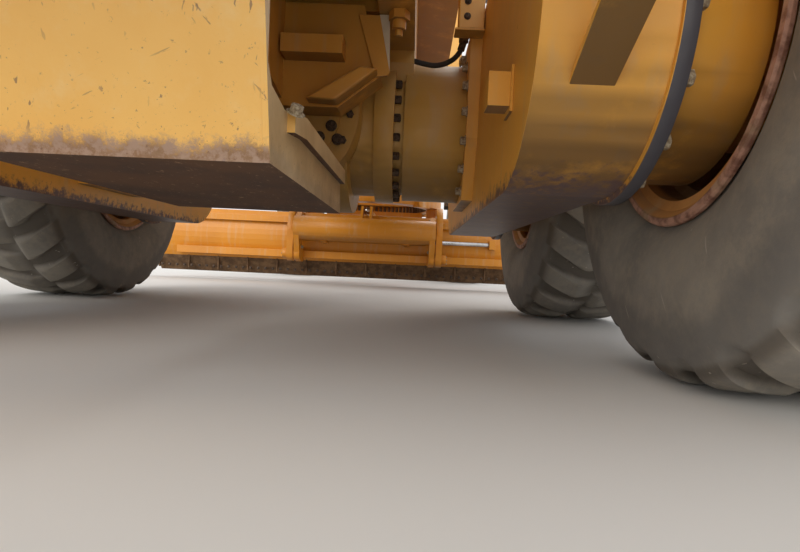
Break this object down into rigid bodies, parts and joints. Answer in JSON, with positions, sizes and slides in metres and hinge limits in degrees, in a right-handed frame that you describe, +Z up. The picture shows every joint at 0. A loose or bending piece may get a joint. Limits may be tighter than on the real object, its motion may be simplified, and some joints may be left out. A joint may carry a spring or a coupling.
{
  "type": "motor grader",
  "caption": "Articulated motor grader with tandem rear wheels, a closed cab and a blade under the arched front frame.",
  "frame": {"origin": "on the ground, in the middle of the machine's length and width", "axes": "+X to the machine's right, +Y forward, +Z up"},
  "size_m": [4.267, 9.4068, 3.535],
  "materials": {
    "painted_frame": "worn satin",
    "dark_metal": "satin",
    "rod_steel": "polished",
    "worn_steel": "rusty",
    "tyre_rubber": "dusty",
    "cab_trim": "matt",
    "clear_glass": "clear"
  },
  "bodies": {
    "rear_body": {"rear_frame": "painted_frame", "transmission_guard": "painted_frame", "transmission": "painted_frame", "engine": "dark_metal", "radiator": "dark_metal", "hood": "painted_frame", "stacks": "dark_metal", "axle_housing": "painted_frame", "tandem_left": "painted_frame", "tandem_right": "painted_frame", "rear_fittings": "dark_metal"},
    "front_body": {"front_frame": "painted_frame", "cab_body": "painted_frame", "cab_roof": "painted_frame", "cab_glass": "clear_glass", "cab_interior": "cab_trim", "cab_steps": "dark_metal", "cylinder_saddle": "painted_frame", "front_axle": "painted_frame", "lift_barrel_left": "painted_frame", "lift_barrel_right": "painted_frame", "work_lamps": "dark_metal", "mirrors": "dark_metal"},
    "rear_grille": {"rear_grille": "dark_metal"},
    "drawbar": {"drawbar": "painted_frame"},
    "circle": {"circle": "painted_frame"},
    "blade_carrier": {"blade_carrier": "painted_frame", "shift_barrel": "painted_frame"},
    "mouldboard": {"mouldboard": "painted_frame", "cutting_edge": "worn_steel", "shift_rod": "rod_steel"},
    "tilt_barrel": {"tilt_barrel": "painted_frame"},
    "tilt_rod": {"tilt_rod": "rod_steel"},
    "tie_rod": {"tie_rod": "dark_metal"},
    "wheel_left_rear": {"rim_left_rear": "painted_frame", "tyre_left_rear": "tyre_rubber"},
    "wheel_left_middle": {"rim_left_middle": "painted_frame", "tyre_left_middle": "tyre_rubber"},
    "articulation_barrel_left": {"articulation_barrel_left": "painted_frame"},
    "articulation_rod_left": {"articulation_rod_left": "rod_steel"},
    "hood_door_left": {"hood_door_left": "painted_frame"},
    "cab_door_left": {"cab_door_left": "painted_frame", "door_glass_left": "clear_glass"},
    "knuckle_left": {"knuckle_left": "painted_frame"},
    "wheel_left_front": {"rim_left_front": "painted_frame", "tyre_left_front": "tyre_rubber"},
    "lift_rod_left": {"lift_rod_left": "rod_steel"},
    "wheel_right_rear": {"rim_right_rear": "painted_frame", "tyre_right_rear": "tyre_rubber"},
    "wheel_right_middle": {"rim_right_middle": "painted_frame", "tyre_right_middle": "tyre_rubber"},
    "articulation_barrel_right": {"articulation_barrel_right": "painted_frame"},
    "articulation_rod_right": {"articulation_rod_right": "rod_steel"},
    "hood_door_right": {"hood_door_right": "painted_frame"},
    "cab_door_right": {"cab_door_right": "painted_frame", "door_glass_right": "clear_glass"},
    "knuckle_right": {"knuckle_right": "painted_frame"},
    "wheel_right_front": {"rim_right_front": "painted_frame", "tyre_right_front": "tyre_rubber"},
    "lift_rod_right": {"lift_rod_right": "rod_steel"}
  },
  "joints": [
    {"name": "articulation", "type": "hinge", "parent": "rear_body", "child": "front_body", "pos_m": [0, -0.5105, 1.015], "axis": [0, 0, 1], "range_deg": [-20, 20]},
    {"name": "wheel_left_rear_spin", "type": "hinge", "parent": "rear_body", "child": "wheel_left_rear", "pos_m": [-1.244, -3.3885, 0.705], "axis": [1, 0, 0], "continuous": true},
    {"name": "wheel_left_middle_spin", "type": "hinge", "parent": "rear_body", "child": "wheel_left_middle", "pos_m": [-1.244, -1.7325, 0.705], "axis": [1, 0, 0], "continuous": true},
    {"name": "articulation_barrel_left_turn", "type": "hinge", "parent": "rear_body", "child": "articulation_barrel_left", "pos_m": [-0.54, -1.3105, 1.01], "axis": [0, 0, 1], "range_deg": [-12, 12]},
    {"name": "articulation_rod_left_slide", "type": "slide", "parent": "articulation_barrel_left", "child": "articulation_rod_left", "axis": [0.0825, 0.9966, 0], "range_m": [-0.19, 0.19]},
    {"name": "hood_door_left_swing", "type": "hinge", "parent": "rear_body", "child": "hood_door_left", "pos_m": [-0.552, -2.3325, 1.7], "axis": [0, 0, -1], "range_deg": [0, 110]},
    {"name": "cab_door_left_swing", "type": "hinge", "parent": "front_body", "child": "cab_door_left", "pos_m": [-0.772, -0.0685, 2.5], "axis": [0, 0, 1], "range_deg": [0, 85]},
    {"name": "steer_left", "type": "hinge", "parent": "front_body", "child": "knuckle_left", "pos_m": [-0.86, 3.9985, 0.705], "axis": [0, 0, 1], "range_deg": [-47, 47]},
    {"name": "wheel_left_front_spin", "type": "hinge", "parent": "knuckle_left", "child": "wheel_left_front", "pos_m": [-1.244, 3.9985, 0.705], "axis": [1, 0, 0], "continuous": true},
    {"name": "lift_rod_left_slide", "type": "slide", "parent": "front_body", "child": "lift_rod_left", "axis": [0, 0, 1], "range_m": [-0.63, 0.33]},
    {"name": "wheel_right_rear_spin", "type": "hinge", "parent": "rear_body", "child": "wheel_right_rear", "pos_m": [1.244, -3.3885, 0.705], "axis": [1, 0, 0], "continuous": true},
    {"name": "wheel_right_middle_spin", "type": "hinge", "parent": "rear_body", "child": "wheel_right_middle", "pos_m": [1.244, -1.7325, 0.705], "axis": [1, 0, 0], "continuous": true},
    {"name": "articulation_barrel_right_turn", "type": "hinge", "parent": "rear_body", "child": "articulation_barrel_right", "pos_m": [0.54, -1.3105, 1.01], "axis": [0, 0, 1], "range_deg": [-12, 12]},
    {"name": "articulation_rod_right_slide", "type": "slide", "parent": "articulation_barrel_right", "child": "articulation_rod_right", "axis": [-0.0825, 0.9966, 0], "range_m": [-0.19, 0.19]},
    {"name": "hood_door_right_swing", "type": "hinge", "parent": "rear_body", "child": "hood_door_right", "pos_m": [0.552, -2.3325, 1.7], "axis": [0, 0, 1], "range_deg": [0, 110]},
    {"name": "cab_door_right_swing", "type": "hinge", "parent": "front_body", "child": "cab_door_right", "pos_m": [0.772, -0.0685, 2.5], "axis": [0, 0, -1], "range_deg": [0, 85]},
    {"name": "steer_right", "type": "hinge", "parent": "front_body", "child": "knuckle_right", "pos_m": [0.86, 3.9985, 0.705], "axis": [0, 0, 1], "range_deg": [-47, 47]},
    {"name": "wheel_right_front_spin", "type": "hinge", "parent": "knuckle_right", "child": "wheel_right_front", "pos_m": [1.244, 3.9985, 0.705], "axis": [1, 0, 0], "continuous": true},
    {"name": "lift_rod_right_slide", "type": "slide", "parent": "front_body", "child": "lift_rod_right", "axis": [0, 0, 1], "range_m": [-0.63, 0.33]},
    {"name": "tie_rod_turn", "type": "hinge", "parent": "knuckle_left", "child": "tie_rod", "pos_m": [-0.86, 3.7685, 0.515], "axis": [0, 0, 1], "range_deg": [-47, 47]},
    {"name": "rear_grille_swing", "type": "hinge", "parent": "rear_body", "child": "rear_grille", "pos_m": [-0.436, -4.6275, 1.7], "axis": [0, 0, -1], "range_deg": [0, 100]},
    {"name": "drawbar_lift", "type": "hinge", "parent": "front_body", "child": "drawbar", "pos_m": [0, 3.6195, 0.985], "axis": [-1, 0, 0], "range_deg": [-18.7, 9.5]},
    {"name": "circle_turn", "type": "hinge", "parent": "drawbar", "child": "circle", "pos_m": [0, 1.7185, 0.88], "axis": [0, 0, 1], "range_deg": [-48, 48]},
    {"name": "blade_tilt", "type": "hinge", "parent": "circle", "child": "blade_carrier", "pos_m": [0, 0.8695, 0.29], "axis": [-1, 0, 0], "range_deg": [-5, 40]},
    {"name": "blade_side_shift", "type": "slide", "parent": "blade_carrier", "child": "mouldboard", "axis": [1, 0, 0], "range_m": [-0.6, 0.6]},
    {"name": "tilt_barrel_turn", "type": "hinge", "parent": "circle", "child": "tilt_barrel", "pos_m": [0, 1.9395, 0.748], "axis": [1, 0, 0], "range_deg": [-4, 17]},
    {"name": "tilt_rod_slide", "type": "slide", "parent": "tilt_barrel", "child": "tilt_rod", "axis": [0, 1, 0], "range_m": [-0.05, 0.25]}
  ],
  "couplings": [
    {"joint": "articulation_barrel_left_turn", "follows": "articulation", "ratio": 0.43},
    {"joint": "articulation_rod_left_slide", "follows": "articulation", "m_per_rad": -0.445},
    {"joint": "lift_rod_left_slide", "follows": "drawbar_lift", "m_per_rad": 1.885},
    {"joint": "articulation_barrel_right_turn", "follows": "articulation", "ratio": 0.43},
    {"joint": "articulation_rod_right_slide", "follows": "articulation", "m_per_rad": 0.445},
    {"joint": "lift_rod_right_slide", "follows": "drawbar_lift", "m_per_rad": 1.885},
    {"joint": "steer_right", "follows": "steer_left", "ratio": 1},
    {"joint": "tie_rod_turn", "follows": "steer_left", "ratio": -1},
    {"joint": "tilt_barrel_turn", "follows": "blade_tilt", "ratio": 0.4},
    {"joint": "tilt_rod_slide", "follows": "blade_tilt", "m_per_rad": 0.346}
  ]
}
